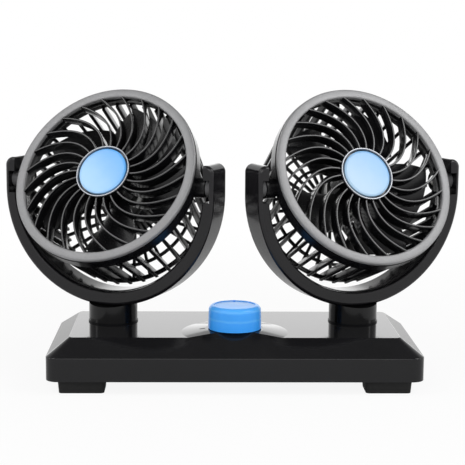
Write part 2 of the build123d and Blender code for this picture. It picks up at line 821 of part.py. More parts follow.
def blade():
    """One pitched and cambered blade cut to its plan."""
    sections = []
    for reach, front_reach, back_reach in (
            (impeller_hub_radius / 2, blade_root_front_reach, blade_root_back_reach),
            (blade_tip_radius, blade_tip_front_reach, blade_tip_back_reach)):
        low = Vector(-front_reach, -blade_front)
        high = Vector(back_reach, blade_back - blade_edge_margin)
        along = (high - low).normalized()
        across = Vector(along.Y, -along.X)
        middle = (low + high) / 2
        top = middle + across * blade_camber
        step = across * blade_thickness
        front = ThreePointArc(low, top, high)
        back = ThreePointArc(high - step, top - step, low - step)
        face = make_face([front, Line(front @ 1, back @ 0), back, Line(back @ 1, front @ 0)])
        sections.append(Plane.YZ.offset(reach) * face)
    body = loft(sections, ruled=True)
    keep = Pos(0, 0, -blade_front) * extrude(blade_plan(), blade_front + blade_back)
    return (body & keep) - rod(impeller_hub_radius - blade_root_bite, -blade_front - overrun,
                               blade_back + overrun)


def impeller():
    """Hub cup with its boss and the blades."""
    floor = -impeller_hub_front + impeller_hub_wall
    hub = rod(impeller_hub_radius, -impeller_hub_front, impeller_hub_back)
    hub -= rod(impeller_hub_radius - impeller_hub_wall, floor, impeller_hub_back + overrun)
    hub += rod(impeller_boss_radius, floor, impeller_boss_back)
    one = blade()
    blades = [Rot(0, 0, index * 360 / blade_count) * one for index in range(blade_count)]
    body = hub + blades
    return body - rod(motor_shaft_radius, -motor_shaft_front_reach, impeller_boss_back + overrun)


# Whole fan

def collect():
    """Every node by name, as one solid or a list of solids, in the base's frame."""
    nodes = {
        "base_housing": base_housing(),
        "bottom_cover": bottom_cover(),
        "bottom_cover_screws": cover_screws(),
        "rotary_switch": rotary_switch(),
        "switch_nut": switch_nut(),
        "switch_shaft": switch_shaft(),
        "speed_knob": speed_knob(),
        "cord_gland": cord_gland(),
    }
    for x, side in ((-foot_x, "left"), (foot_x, "right")):
        for y, end in ((-foot_y, "front"), (foot_y, "rear")):
            nodes[f"foot_{end}_{side}"] = Pos(x, y, 0) * foot()
    turning = {
        "swivel_washer": swivel_washer(),
        "swivel_post": swivel_post(),
        "retaining_plate": retaining_plate(),
        "retaining_screws": retaining_screws(),
        "yoke_front_cover": yoke_front_cover(),
        "yoke_rear_shell": yoke_rear_shell(),
        "pivot_bushes": pivot_bushes(),
    }
    tilting = {
        "bezel_ring": bezel_ring(),
        "housing_band": housing_band(),
        "pivot_pins": pivot_pins(),
        "front_grille": front_grille(),
        "hub_ring": hub_ring(),
        "hub_disc": hub_disc(),
        "rear_cage": rear_cage(),
        "motor": motor(),
        "motor_screws": motor_screws(),
        "motor_shaft": motor_shaft(),
    }
    impeller_body = impeller()
    sides = (("left", -post_pitch / 2, left_swivel_angle, left_tilt_angle, left_impeller_turn),
             ("right", post_pitch / 2, right_swivel_angle, right_tilt_angle, right_impeller_turn))
    for side, x, swivel, tilt, impeller_turn in sides:
        post = Pos(x, post_set_back, 0) * Rot(0, 0, swivel)
        head = post * Pos(0, 0, pivot_height) * Rot(-tilt, 0, 0) * Rot(-90, 0, 0)
        spun = head * Rot(0, 0, impeller_turn)
        for place, pieces in ((post, turning), (head, tilting), (spun, {"impeller": impeller_body})):
            for name, piece in pieces.items():
                if isinstance(piece, list):
                    nodes[f"{side}_{name}"] = [place * solid for solid in piece]
                else:
                    nodes[f"{side}_{name}"] = place * piece
    return nodes


def as_compound(piece):
    """One shape for a node that may hold a group of solids."""
    if isinstance(piece, list):
        return Compound([solid for part in piece for solid in part.solids()])
    return piece


def main():
    """Centre the fan on its box, stand it on the floor and write one file per node."""
    os.makedirs("parts", exist_ok=True)
    nodes = {name: as_compound(piece) for name, piece in collect().items()}
    boxes = [shape.bounding_box() for shape in nodes.values()]
    middle_x = (min(box.min.X for box in boxes) + max(box.max.X for box in boxes)) / 2
    middle_y = (min(box.min.Y for box in boxes) + max(box.max.Y for box in boxes)) / 2
    for name, shape in nodes.items():
        export_step(Pos(-middle_x, -middle_y, 0) * shape, f"parts/{name}.step")
    print(f"origin is {middle_x:.4f}, {middle_y:.4f} from the base's centre")


main()
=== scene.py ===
"""Looks of a twin-head car fan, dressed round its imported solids.

Sizes are in millimetres, and a finished mesh is in metres in the frame of the solids. A place is a matrix
from the millimetres of a local frame to those metres.
"""

import json
import logging
import math
from dataclasses import dataclass, field
from enum import Enum
from functools import cache

import bmesh
import bpy
from mathutils import Matrix, Vector


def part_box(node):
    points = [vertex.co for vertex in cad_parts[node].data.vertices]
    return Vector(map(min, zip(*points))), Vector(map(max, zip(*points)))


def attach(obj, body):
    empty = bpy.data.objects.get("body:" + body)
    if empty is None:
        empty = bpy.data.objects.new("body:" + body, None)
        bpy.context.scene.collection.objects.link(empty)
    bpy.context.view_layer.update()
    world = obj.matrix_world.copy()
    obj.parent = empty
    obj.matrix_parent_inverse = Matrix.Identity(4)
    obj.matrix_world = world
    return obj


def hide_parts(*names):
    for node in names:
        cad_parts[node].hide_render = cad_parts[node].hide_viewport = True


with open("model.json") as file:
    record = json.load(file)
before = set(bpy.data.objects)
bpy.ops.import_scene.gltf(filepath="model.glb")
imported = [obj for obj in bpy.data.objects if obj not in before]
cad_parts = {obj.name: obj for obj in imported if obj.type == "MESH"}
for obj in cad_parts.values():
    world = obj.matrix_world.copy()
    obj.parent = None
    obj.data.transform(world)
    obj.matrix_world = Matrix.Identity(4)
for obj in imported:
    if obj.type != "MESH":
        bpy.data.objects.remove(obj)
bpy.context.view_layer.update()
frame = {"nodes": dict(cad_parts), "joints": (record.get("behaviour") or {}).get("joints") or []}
LOG = logging.getLogger("twin_fan")
MM = 0.001
CREASE = math.radians(35)
Point = tuple[float, float]
Spot = tuple[float, float, float]
Colour = tuple[float, float, float]
Node, Socket, Tree, Given = (bpy.types.Node, bpy.types.NodeSocket, bpy.types.NodeTree,
                             bpy.types.NodeOutputs)
Piece = bpy.types.Object
KINDS = {float: "Float", int: "Int", 3: "Vector", 4: "Color"}


class Side(Enum):
    """The two heads, as seen from the front."""

    LEFT = "left"
    RIGHT = "right"


class Wiring:
    """Fills a node tree, one node at a time."""

    def __init__(self, tree: Tree) -> None:
        """Take the tree that is filled."""
        self.tree = tree

    @classmethod
    def of(cls, owner: bpy.types.ID) -> "Wiring":
        """Switch on the nodes of a material or the world."""
        owner.use_nodes = True
        return cls(owner.node_tree)

    def find(self, kind: str) -> Node:
        """Give the node of this type that the tree starts with."""
        return next(node for node in self.tree.nodes if node.type == kind)

    def feed(self, node: Node, inputs: dict) -> Node:
        """Set or link inputs of a node.

        Args:
            node: The node.
            inputs: Values or sockets by the input's name or number.

        Returns:
            The node.
        """
        for key, value in inputs.items():
            if isinstance(value, Socket):
                self.tree.links.new(value, node.inputs[key])
            else:
                node.inputs[key].default_value = value
        return node

    def add(self, kind: str, inputs: dict | None = None, **settings: object) -> Node:
        """Add a node.

        Args:
            kind: The node's type.
            inputs: Values or sockets by the input's name or number.
            settings: Properties of the node itself.

        Returns:
            The new node.
        """
        node = self.tree.nodes.new(kind)
        for key, value in settings.items():
            setattr(node, key, value)
        return self.feed(node, inputs or {})

    def get(self, kind: str, inputs: dict | None = None, **settings: object) -> Socket:
        """Add a node and give its first output."""
        return self.add(kind, inputs, **settings).outputs[0]

    def effect(self, tree: Tree, inputs: dict) -> Node:
        """Add a shared effect."""
        return self.add("ShaderNodeGroup", inputs, node_tree=tree)

    def math(self, operation: str, *values: object) -> Socket:
        """Work out a number, as in ADD or MULTIPLY."""
        return self.get("ShaderNodeMath", dict(enumerate(values)), operation=operation)

    def triple(self, **values: object) -> Socket:
        """Make a vector from its X, Y and Z."""
        return self.get("ShaderNodeCombineXYZ", values)

    def parts(self, vector: Socket) -> Given:
        """Give the X, Y and Z of a vector."""
        return self.add("ShaderNodeSeparateXYZ", {0: vector}).outputs

    def length(self, vector: Socket) -> Socket:
        """Give the length of a vector."""
        return self.add("ShaderNodeVectorMath", {0: vector}, operation="LENGTH").outputs["Value"]

    def noise(self, where: Socket, scale: object, detail: float = 2.0, **inputs: object) -> Socket:
        """Spread a noise over the surface."""
        values = {"Vector": where, "Scale": scale, "Detail": detail, **inputs}
        return self.get("ShaderNodeTexNoise", values)

    def span(self, value: Socket, start: Point, end: tuple = (0.0, 1.0), kind: str = "LINEAR") -> Socket:
        """Map a value from one range to another, which may be of sockets."""
        values = dict(zip(("Value", "From Min", "From Max", "To Min", "To Max"), (value, *start, *end)))
        return self.get("ShaderNodeMapRange", values, interpolation_type=kind)


def new_group(name: str, inputs: dict[str, object], outputs: dict[str, str],
              tree_kind: str = "ShaderNodeTree") -> tuple[Wiring, Given, Node]:
    """Start a node group with named sockets.

    Args:
        name: Name of the group.
        inputs: Default value of each input, or only its kind.
        outputs: Kind of each output, such as Float.
        tree_kind: Type of the tree.

    Returns:
        The wiring, what the group is given, and the group's output node.
    """
    tree = bpy.data.node_groups.new(name, tree_kind)
    for title, value in inputs.items():
        plain = isinstance(value, str)
        kind = value if plain else KINDS[len(value) if isinstance(value, tuple) else type(value)]
        item = tree.interface.new_socket(name=title, in_out="INPUT", socket_type=f"NodeSocket{kind}")
        if not plain:
            item.default_value = value
    for title, kind in outputs.items():
        tree.interface.new_socket(name=title, in_out="OUTPUT", socket_type=f"NodeSocket{kind}")
    w = Wiring(tree)
    return w, w.add("NodeGroupInput").outputs, w.add("NodeGroupOutput")


@cache
def moulded_skin() -> Tree:
    """Fine skin of a moulding, with slow waves and a small grain.

    Returns:
        The shader node group.
    """
    w, given, out = new_group("moulded_skin", {"Vector": "Vector", "Grain": 900.0, "Waves": 60.0},
                              {"Height": "Float"})
    grain_share = 0.45
    grain = w.noise(given["Vector"], given["Grain"], 3.0, Roughness=0.6)
    waves = w.noise(given["Vector"], given["Waves"], 1.0)
    small, slow = w.math("MULTIPLY", grain, grain_share), w.math("MULTIPLY", waves, 1 - grain_share)
    w.feed(out, {"Height": w.math("ADD", small, slow)})
    return w.tree


@cache
def handling() -> Tree:
    """Roughness that drifts where a surface has been handled, with faint hairlines.

    Returns:
        The shader node group.
    """
    w, given, out = new_group("handling", {"Vector": "Vector", "Low": 0.1, "High": 0.2, "Size": 35.0},
                              {"Roughness": "Float"})
    hair_edge, hair_strength, smudge_range = (0.62, 0.72), (0.0, 0.35), (0.3, 0.9)
    smudge = w.noise(given["Vector"], given["Size"], 4.0, Roughness=0.55, Distortion=0.6)
    drawn_out = {"Vector": given["Vector"], "Rotation": (0.3, 0.5, 0.7), "Scale": (1.0, 22.0, 22.0)}
    hairs = w.noise(w.get("ShaderNodeMapping", drawn_out), 60.0)
    share = w.math("ADD", smudge, w.span(hairs, hair_edge, hair_strength))
    w.feed(out, {"Roughness": w.span(share, smudge_range, (given["Low"], given["High"]))})
    return w.tree


@cache
def settled_dust() -> Tree:
    """Fine dust on what faces upwards, mixed into a colour.

    Returns:
        The shader node group.
    """
    inputs = {"Vector": "Vector", "Color": (0.1, 0.1, 0.1, 1.0), "Amount": 0.05}
    w, given, out = new_group("settled_dust", inputs, {"Color": "Color"})
    dust_colour, upwards, speck_edge = (0.42, 0.4, 0.38, 1), (0.2, 1.0), (0.16, 0.08)
    rise = w.parts(w.add("ShaderNodeTexCoord").outputs["Normal"])[2]
    cloud = w.noise(given["Vector"], 90.0, 5.0, Roughness=0.7)
    specks = w.add("ShaderNodeTexVoronoi", {"Vector": given["Vector"], "Scale": 700.0})
    body = w.math("ADD", cloud, w.span(specks.outputs["Distance"], speck_edge))
    mask = w.math("MULTIPLY", w.math("MULTIPLY", body, w.span(rise, upwards)), given["Amount"])
    # The colour sockets of a Mix node come after its number and vector sockets.
    blend = w.add("ShaderNodeMix", {0: mask, 6: given["Color"], 7: dust_colour}, data_type="RGBA")
    w.feed(out, {"Color": blend.outputs[2]})
    return w.tree


@cache
def paint_flake() -> Tree:
    """Small metal flakes in a paint, each with its own brightness.

    Returns:
        The shader node group.
    """
    inputs = {"Vector": "Vector", "Color": (0.3, 0.3, 0.3, 1.0), "Scale": 2600.0, "Contrast": 0.12}
    w, given, out = new_group("paint_flake", inputs, {"Color": "Color"})
    cells = w.add("ShaderNodeTexVoronoi", {"Vector": given["Vector"], "Scale": given["Scale"]})
    tone = w.get("ShaderNodeSeparateColor", {0: cells.outputs["Color"]})
    swing = w.math("MULTIPLY", w.math("SUBTRACT", tone, 0.5), given["Contrast"])
    scaled = w.get("ShaderNodeVectorMath", {0: given["Color"], "Scale": w.math("ADD", swing, 1.0)},
                   operation="SCALE")
    w.feed(out, {"Color": scaled})
    return w.tree


@cache
def turned_lines() -> Tree:
    """Fine lines left by a lathe round a centre.

    Returns:
        The shader node group.
    """
    w, given, out = new_group("turned_lines", {"Vector": "Vector", "Scale": 1800.0}, {"Height": "Float"})
    reach = w.math("MULTIPLY", w.length(given["Vector"]), given["Scale"])
    line = w.get("ShaderNodeTexNoise", {"W": reach, "Scale": 1.0, "Detail": 2.0}, noise_dimensions="1D")
    w.feed(out, {"Height": line})
    return w.tree


def rgba(colour: Colour) -> tuple[float, float, float, float]:
    """Give a colour with full alpha."""
    return (*colour, 1.0)


@dataclass(frozen=True)
class Finish:
    """A finish of the fan, with what every finish has."""

    name: str
    colour: Colour
    roughness: Point = (0.2, 0.3)
    specular: float = 0.5
    coat: float = 0.0
    coat_roughness: float = 0.05
    metallic: float = 0.0
    dust: float = 0.02
    grain: float = 900.0
    waves: float = 60.0
    relief: float = 0.004
    smudge_size: float = 35.0
    painted_glow: float = 0.0
    cloud_size: float = 40.0
    cloud_stops: tuple[Point, Point] = ((0.3, 0.85), (0.7, 1.12))

    def base(self, w: Wiring, where: Socket) -> Socket:
        """Give the colour before dust, here the finish's own with a faint drift.

        Args:
            w: Wiring of the material.
            where: Object coordinates.

        Returns:
            The colour's socket.
        """
        ramp = w.add("ShaderNodeValToRGB", {"Fac": w.noise(where, self.cloud_size, 3.0)})
        for stop, (position, share) in zip(ramp.color_ramp.elements, self.cloud_stops):
            stop.color = rgba(tuple(part * share for part in self.colour))
            stop.position = position
        return ramp.outputs[0]

    def height(self, w: Wiring, where: Socket) -> Socket:
        """Give the relief of the skin."""
        values = {"Vector": where, "Grain": self.grain, "Waves": self.waves}
        return w.effect(moulded_skin(), values).outputs["Height"]

    def material(self) -> bpy.types.Material:
        """Give the material, built the first time.

        Returns:
            The finish as a material.
        """
        found = bpy.data.materials.get(self.name)
        if found:
            return found
        material = bpy.data.materials.new(self.name)
        w = Wiring.of(material)
        where = w.add("ShaderNodeTexCoord").outputs["Object"]
        dust = w.effect(settled_dust(), {"Vector": where, "Amount": self.dust, "Color": self.base(w, where)})
        low, high = self.roughness
        touch = w.effect(handling(), {"Vector": where, "Low": low, "High": high, "Size": self.smudge_size})
        height, distance = self.height(w, where), self.relief * MM
        bump = w.get("ShaderNodeBump", {"Height": height, "Strength": 1.0, "Distance": distance})
        shader = w.feed(w.find("BSDF_PRINCIPLED"), {
            "Base Color": dust.outputs["Color"], "Roughness": touch.outputs["Roughness"],
            "Normal": bump, "Metallic": self.metallic, "Specular IOR Level": self.specular,
            "Coat Weight": self.coat, "Coat Roughness": self.coat_roughness})
        # Painted light: the base colour also shines as emission, though the part is no lamp.
        if self.painted_glow:
            w.feed(shader, {"Emission Color": self.base(w, where), "Emission Strength": self.painted_glow})
        return material


@dataclass(frozen=True)
class FlakePaint(Finish):
    """Sprayed paint with fine metal flakes."""

    flake: float = 2600.0
    contrast: float = 0.12

    def base(self, w: Wiring, where: Socket) -> Socket:
        """Give the paint's colour, flake by flake."""
        return w.effect(paint_flake(), {"Vector": where, "Color": rgba(self.colour), "Scale": self.flake,
                        "Contrast": self.contrast}).outputs["Color"]


@dataclass(frozen=True)
class TurnedMetal(Finish):
    """Metal with fine turned lines."""

    lines: float = 1800.0

    def height(self, w: Wiring, where: Socket) -> Socket:
        """Give the relief of the lathe's lines."""
        return w.effect(turned_lines(), {"Vector": where, "Scale": self.lines}).outputs["Height"]


@dataclass(frozen=True)
class SheenPaintedPlastic(Finish):
    """Plastic whose colour drifts from one place to another, with the drift's own stops, as painted sheen and
    painted highlights.
    """

    far_colour: Colour = (0.3, 0.6, 1.0)
    start: Spot = (0.0, 0.0, 0.0)
    end: Spot = (0.0, 0.0, 0.01)
    drift: tuple[Point, ...] = ((0.0, 0.0), (1.0, 1.0))
    blur: float = 0.12
    cloud_size: float = 130.0

    def base(self, w: Wiring, where: Socket) -> Socket:
        """Give the colour between the two ends of the drift, which paints the sheen.

        Args:
            w: Wiring of the material.
            where: Object coordinates.

        Returns:
            The colour's socket.
        """
        way = Vector(self.end) - Vector(self.start)
        away = w.get("ShaderNodeVectorMath", {0: where, 1: self.start}, operation="SUBTRACT")
        along = w.add("ShaderNodeVectorMath", {0: away, 1: tuple(way / way.length_squared)},
                      operation="DOT_PRODUCT")
        cloud = w.math("SUBTRACT", w.noise(where, self.cloud_size), 0.5)
        share = w.math("ADD", along.outputs["Value"], w.math("MULTIPLY", cloud, self.blur))
        ramp = w.add("ShaderNodeValToRGB", {"Fac": share})
        ramp.color_ramp.interpolation = "EASE"
        for place, _ in self.drift[1:-1]:
            ramp.color_ramp.elements.new(place)
        for stop, (place, far) in zip(ramp.color_ramp.elements, self.drift):
            stop.position = place
            stop.color = rgba(tuple(Vector(self.colour).lerp(Vector(self.far_colour), far)))
        return ramp.outputs[0]


GLOSS_BLACK = Finish("gloss_black_moulding", (0.006, 0.006, 0.007), (0.06, 0.12), 0.32,
                     relief=0.0012, waves=45.0, dust=0.01)
BAND_BLACK = Finish("band_black_moulding", (0.005, 0.005, 0.006), (0.18, 0.26), 0.28, relief=0.0015,
                    waves=70.0, dust=0.012)
SATIN_BLACK = Finish("satin_black_moulding", (0.008, 0.0075, 0.009), (0.15, 0.21), 0.35, relief=0.001,
                     grain=1400.0, dust=0.015)
POST_BLACK = Finish("post_black_moulding", (0.004, 0.004, 0.0045), (0.12, 0.2), 0.3, relief=0.002, dust=0.01)
RIB_BLACK = Finish("rib_black_moulding", (0.005, 0.005, 0.006), (0.14, 0.2), 0.6, relief=0.0015, dust=0.015)
CAGE_BLACK = Finish("cage_black_moulding", (0.005, 0.005, 0.006), (0.2, 0.3), 0.36, relief=0.003)
BLADE_BLACK = Finish("blade_black_moulding", (0.008, 0.008, 0.009), (0.22, 0.3), 0.35, relief=0.003)
BEZEL_SILVER = FlakePaint("bezel_silver_paint", (0.25, 0.25, 0.255), (0.42, 0.52), 0.5, 0.1, 0.25, 0.3,
                          relief=0.006, grain=2200.0, dust=0.01)
DARK_ACETAL = Finish("dark_acetal", (0.01, 0.01, 0.011), (0.35, 0.45), 0.22, relief=0.005, dust=0.006)
FOOT_RUBBER = Finish("foot_rubber", (0.01, 0.01, 0.01), (0.65, 0.85), 0.3, relief=0.03, grain=700.0, dust=0.03)
SWITCH_GREY = Finish("switch_grey", (0.18, 0.18, 0.19), (0.4, 0.5), relief=0.005)
WASHER_BLACK = Finish("washer_black", (0.005, 0.005, 0.006), (0.3, 0.4), 0.1, dust=0.0)
# Painted shade: a dull near-black for the shaded recess at the yoke's seam.
SEAM_SHADE_BLACK = Finish("seam_shade_black", (0.004, 0.004, 0.005), (0.5, 0.6), 0.08, dust=0.0)
MARK_BLACK = Finish("mark_black", (0.01, 0.01, 0.01), (0.6, 0.7), 0.2, relief=0.005, dust=0.0)
SCREW_STEEL = TurnedMetal("screw_steel", (0.55, 0.54, 0.52), (0.25, 0.4), metallic=1.0, relief=0.01)
MOTOR_CAN = TurnedMetal("motor_can_steel", (0.5, 0.5, 0.49), (0.3, 0.42), metallic=1.0, relief=0.008)
RING_METAL = TurnedMetal("hub_ring_metal", (0.26, 0.27, 0.29), (0.24, 0.32), metallic=0.85, dust=0.0)
# Painted sheen of the hub discs: for each head, the blue at one corner and the lighter blue at the other, each
# head with its own pair for how the light falls on it.
DISC_SHEEN_BLUES = {Side.LEFT: ((0.13, 0.44, 0.92), (0.38, 0.66, 0.98)),
              Side.RIGHT: ((0.21, 0.45, 0.76), (0.4, 0.59, 0.78))}


def dress(node: str, finish: Finish) -> None:
    """Give a CAD node a finish.

    Args:
        node: Name of the node.
        finish: Its finish.
    """
    data = frame["nodes"][node].data
    if not data.materials:
        data.materials.append(finish.material())
    for index in range(len(data.materials)):
        data.materials[index] = finish.material()
    LOG.info("dressed %s in %s", node, finish.name)


def settle(piece: Piece, body: str, finish: Finish, slot: str, *nodes: str) -> None:
    """Dress a piece, let it ride on its body and hide the CAD nodes that it stands for.

    Args:
        piece: The piece, in place.
        body: Body that it moves with.
        finish: Its finish.
        slot: Material slot of the record; not used.
        nodes: CAD nodes that it stands for.
    """
    piece.data.materials.clear()
    piece.data.materials.append(finish.material())
    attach(piece, body)
    if nodes:
        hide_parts(*nodes)
    LOG.info("made %s, %d faces", piece.name, len(piece.data.polygons))


def shown(name: str, data: bpy.types.ID) -> Piece:
    """Make an object of a mesh, lamp or camera and put it in the scene.

    Args:
        name: Name of the object.
        data: What it holds.

    Returns:
        The object, at the origin.
    """
    piece = bpy.data.objects.new(name, data)
    bpy.context.scene.collection.objects.link(piece)
    return piece


def finish_mesh(name: str, mesh: bpy.types.Mesh, place: Matrix) -> Piece:
    """Put a mesh in its place and make it an object.

    Args:
        name: Name of the piece.
        mesh: Mesh in local millimetres.
        place: Its local frame.

    Returns:
        The piece, its object at the origin.
    """
    mesh.transform(place)
    mesh.shade_smooth()
    mesh.set_sharp_from_angle(angle=CREASE)
    return shown(name, mesh)


def shaped(name: str, bm: bmesh.types.BMesh, place: Matrix) -> Piece:
    """Make a piece from a finished form, with its faces outwards.

    Args:
        name: Name of the piece.
        bm: The form in local millimetres. It is used up.
        place: Its local frame.

    Returns:
        The piece, its object at the origin.
    """
    bmesh.ops.recalc_face_normals(bm, faces=bm.faces)
    mesh = bpy.data.meshes.new(name)
    bm.to_mesh(mesh)
    bm.free()
    return finish_mesh(name, mesh, place)


def rounded(points: list[Point], radius: float) -> list[Point]:
    """Round the corners of a closed outline.

    Args:
        points: Corners in order.
        radius: Radius that every corner gets, as far as its sides allow.

    Returns:
        The rounded outline.
    """
    steps, most = 3, 2.01
    out: list[Point] = []
    for index, corner in enumerate(points):
        here = Vector(corner)
        back = Vector(points[index - 1]) - here
        ahead = Vector(points[(index + 1) % len(points)]) - here
        reach = min(radius, back.length / most, ahead.length / most)
        first, last = here + back.normalized() * reach, here + ahead.normalized() * reach
        for step in range(steps + 1):
            t = step / steps
            spot = first * (1 - t) ** 2 + here * (2 * t * (1 - t)) + last * t * t
            out.append((spot.x, spot.y))
    return out


def strap(inner: float, outer: float, start: float, end: float) -> list[Point]:
    """Give the outline of a plain ring, by its two radii and two heights."""
    return [(inner, start), (inner, end), (outer, end), (outer, start)]


def lathe(name: str, outline: list[Point], place: Matrix, segments: int = 128,
          arc: Point | None = None) -> Piece:
    """Turn a closed outline of radius and height about the local axis.

    Args:
        name: Name of the piece.
        outline: Radius and height of each corner, in order.
        place: Its local frame.
        segments: Steps round the axis.
        arc: First and last angle in degrees, or none for the whole turn.

    Returns:
        The turned piece.
    """
    first, last = arc or (0, 360)
    bm = bmesh.new()
    rings = []
    for step in range(segments + bool(arc)):
        angle = math.radians(first + (last - first) * step / segments)
        rings.append([bm.verts.new((r * math.cos(angle), r * math.sin(angle), z)) for r, z in outline])
    for one, two in zip(rings, rings[1:] if arc else rings[1:] + rings[:1]):
        for index in range(len(outline)):
            after = (index + 1) % len(outline)
            if outline[index][0] > 0 or outline[after][0] > 0:
                bm.faces.new((one[index], two[index], two[after], one[after]))
    for ring in (rings[0], rings[-1]) if arc else ():
        bm.faces.new(ring)
    bmesh.ops.remove_doubles(bm, verts=bm.verts, dist=1e-5)
    return shaped(name, bm, place)


def grow(tree: Tree, name: str, values: dict[str, object], place: Matrix,
         spots: tuple[Spot, ...] = ()) -> Piece:
    """Run a geometry tree and keep its result as a plain mesh.

    Args:
        tree: The geometry tree.
        name: Name of the piece.
        values: Values of the tree's inputs by name.
        place: Its local frame.
        spots: Points that the tree starts from, if it needs any.

    Returns:
        The piece, its object at the origin.
    """
    points = bpy.data.meshes.new(name + "_seed")
    points.from_pydata(spots, [], [])
    seed = shown(name + "_seed", points)
    modifier = seed.modifiers.new("shape", "NODES")
    modifier.node_group = tree
    for item in tree.interface.items_tree:
        if item.item_type == "SOCKET" and item.in_out == "INPUT" and item.name in values:
            modifier[item.identifier] = values[item.name]
    graph = bpy.context.evaluated_depsgraph_get()
    mesh = bpy.data.meshes.new_from_object(seed.evaluated_get(graph), depsgraph=graph)
    mesh.name = name
    seed.modifiers.remove(modifier)
    bpy.data.objects.remove(seed)
    return finish_mesh(name, mesh, place)


def joined(name: str, pieces: list[Piece]) -> Piece:
    """Join pieces that are one moulding.

    Args:
        name: Name of the moulding.
        pieces: Its forms, all at the origin.

    Returns:
        One object with their meshes.
    """
    mesh = bpy.data.meshes.new(name)
    bm = bmesh.new()
    for piece in pieces:
        bm.from_mesh(piece.data)
        bpy.data.objects.remove(piece)
    bm.to_mesh(mesh)
    bm.free()
    return shown(name, mesh)


def round_bar(w: Wiring, given: Given, resolution: int) -> Socket:
    """Sweep a bar with rounded edges along a bent line.

    Args:
        w: Wiring of the tree.
        given: The tree's inputs, with Start, Bend, End, Width, Depth and Round.
        resolution: Steps along the line.

    Returns:
        The bar's geometry.
    """
    path = {"Resolution": resolution, "Start": given["Start"], "Middle": given["Bend"], "End": given["End"]}
    line = w.get("GeometryNodeCurveQuadraticBezier", path)
    size = {"Width": given["Width"], "Height": given["Depth"]}
    outline = w.get("GeometryNodeCurvePrimitiveQuadrilateral", size)
    corners = {"Curve": outline, "Count": 3, "Radius": given["Round"]}
    soft = w.get("GeometryNodeFilletCurve", corners, mode="POLY")
    level = w.get("GeometryNodeSetCurveNormal", {"Curve": line}, mode="Z_UP")
    swept = {"Curve": level, "Profile Curve": soft, "Fill Caps": True}
    return w.get("GeometryNodeCurveToMesh", swept)


def end_tree(w: Wiring, given: Given, out: Node, copied: dict[str, Socket]) -> None:
    """Set copies of a shape, make them real, give them their material and end the tree.

    Args:
        w: Wiring of the tree.
        given: The tree's inputs, with Material.
        out: The tree's output node.
        copied: What is copied, where and at what turn.
    """
    copies = w.get("GeometryNodeInstanceOnPoints", copied)
    whole = w.get("GeometryNodeRealizeInstances", {0: copies})
    dressed = w.get("GeometryNodeSetMaterial", {"Geometry": whole, "Material": given["Material"]})
    w.feed(out, {0: dressed})


def copies_round(w: Wiring, given: Given, out: Node, shape: Socket) -> None:
    """Set copies of a shape round the axis and end the tree.

    Args:
        w: Wiring of the tree.
        given: The tree's inputs, with Count, Leave Out Every and Material.
        out: The tree's output node.
        shape: What is copied.
    """
    spots = w.get("GeometryNodePoints", {"Count": given["Count"]})
    index = w.get("GeometryNodeInputIndex")
    angle = w.math("MULTIPLY", index, w.math("DIVIDE", math.tau, given["Count"]))
    every = w.math("MAXIMUM", given["Leave Out Every"], 1.0)
    left_out = w.math("LESS_THAN", w.math("MODULO", index, every), 0.5)
    wanted = w.math("GREATER_THAN", given["Leave Out Every"], 0.5)
    kept = w.math("SUBTRACT", 1.0, w.math("MULTIPLY", left_out, wanted))
    end_tree(w, given, out, {"Points": spots, "Selection": kept, "Instance": shape,
                             "Rotation": w.triple(Z=angle)})


BAR_INPUTS = {"Count": 24, "Leave Out Every": 0, "Width": 1.3, "Depth": 3.0, "Round": 0.3,
              "Start": (1.0, 0.0, 0.0), "Bend": (2.0, 0.0, 0.0), "End": (3.0, 0.0, 0.0),
              "Material": "Material"}
RIB_INPUTS = {"Hub Radius": 16.0, "Rim Radius": 54.0, "Hub Front": 15.0, "Rim Front": 14.0,
              "Hub Back": 7.0, "Rim Back": 7.0, "Bulge": 0.3}
SCREW_INPUTS = {"Geometry": "Geometry", "Head Radius": 2.5, "Head Height": 1.4, "Shank Radius": 1.2,
                "Shank Length": 5.0, "Slot Width": 0.55, "Tip": 0.0, "Material": "Material"}


@cache
def bars_tree() -> Tree:
    """Bars along a bent line, set round the axis.

    Returns:
        The geometry tree.
    """
    w, given, out = new_group("bars_round_axis", BAR_INPUTS, {"Geometry": "Geometry"}, "GeometryNodeTree")
    copies_round(w, given, out, round_bar(w, given, 2))
    return w.tree


@cache
def ribs_tree() -> Tree:
    """Spiral ribs whose fronts lie on a low dome and whose backs lie on a cone.

    Returns:
        The geometry tree.
    """
    w, given, out = new_group("dished_spiral_ribs", {**BAR_INPUTS, **RIB_INPUTS},
                              {"Geometry": "Geometry"}, "GeometryNodeTree")
    bar = round_bar(w, given, 20)
    spot = w.parts(w.get("GeometryNodeInputPosition"))
    reach = w.math("SUBTRACT", w.length(w.triple(X=spot[0], Y=spot[1])), given["Hub Radius"])
    t = w.math("DIVIDE", reach, w.math("SUBTRACT", given["Rim Radius"], given["Hub Radius"]))

    def between(start: str, end: str) -> Socket:
        """Give the value between two inputs at this radius."""
        return w.math("MULTIPLY_ADD", t, w.math("SUBTRACT", given[end], given[start]), given[start])

    hump = w.math("MULTIPLY", w.math("MULTIPLY", t, w.math("SUBTRACT", 1.0, t)),
                  w.math("MULTIPLY", given["Bulge"], 4.0))
    front = w.math("ADD", between("Hub Front", "Rim Front"), hump)
    back = between("Hub Back", "Rim Back")
    share = w.math("ADD", w.math("DIVIDE", spot[2], given["Depth"]), 0.5)
    height = w.math("MULTIPLY_ADD", share, w.math("SUBTRACT", back, front), front)
    place = w.triple(X=spot[0], Y=spot[1], Z=w.math("MULTIPLY", height, -1.0))
    moved = w.get("GeometryNodeSetPosition", {"Geometry": bar, "Position": place})
    copies_round(w, given, out, moved)
    return w.tree


